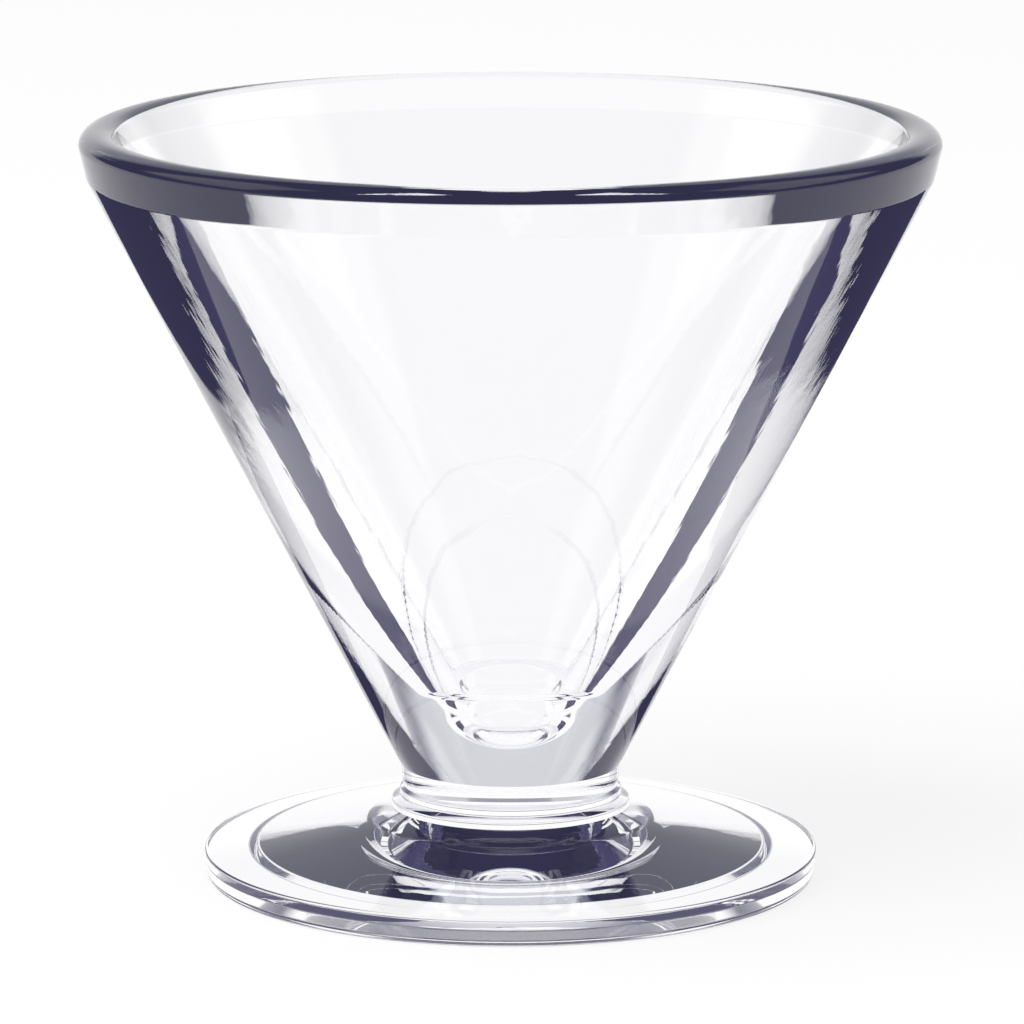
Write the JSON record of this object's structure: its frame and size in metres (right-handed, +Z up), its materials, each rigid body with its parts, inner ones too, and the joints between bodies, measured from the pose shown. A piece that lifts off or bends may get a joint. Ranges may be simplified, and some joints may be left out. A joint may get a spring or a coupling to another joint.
{
  "type": "parfait glass",
  "caption": "Footed parfait glass: wide conical bowl with thick clear walls and a small round well, on a short neck and a ringed collar over a broad low foot.",
  "frame": {"origin": "middle of the foot's bearing ring, on the surface that the glass stands on", "axes": "+Z up along the axis of the glass, from the foot to the lip; the glass is round, so +X and +Y are free"},
  "size_m": [0.1106, 0.1106, 0.0981],
  "materials": {
    "foot_glass": "clear pressed glass, fire-polished",
    "collar_glass": "clear pressed glass, fire-polished",
    "neck_glass": "clear pressed glass, fire-polished",
    "bowl_glass": "clear pressed glass, fire-polished lip"
  },
  "bodies": {
    "root": {"foot": "foot_glass", "collar": "collar_glass", "neck": "neck_glass", "bowl": "bowl_glass"}
  },
  "joints": []
}
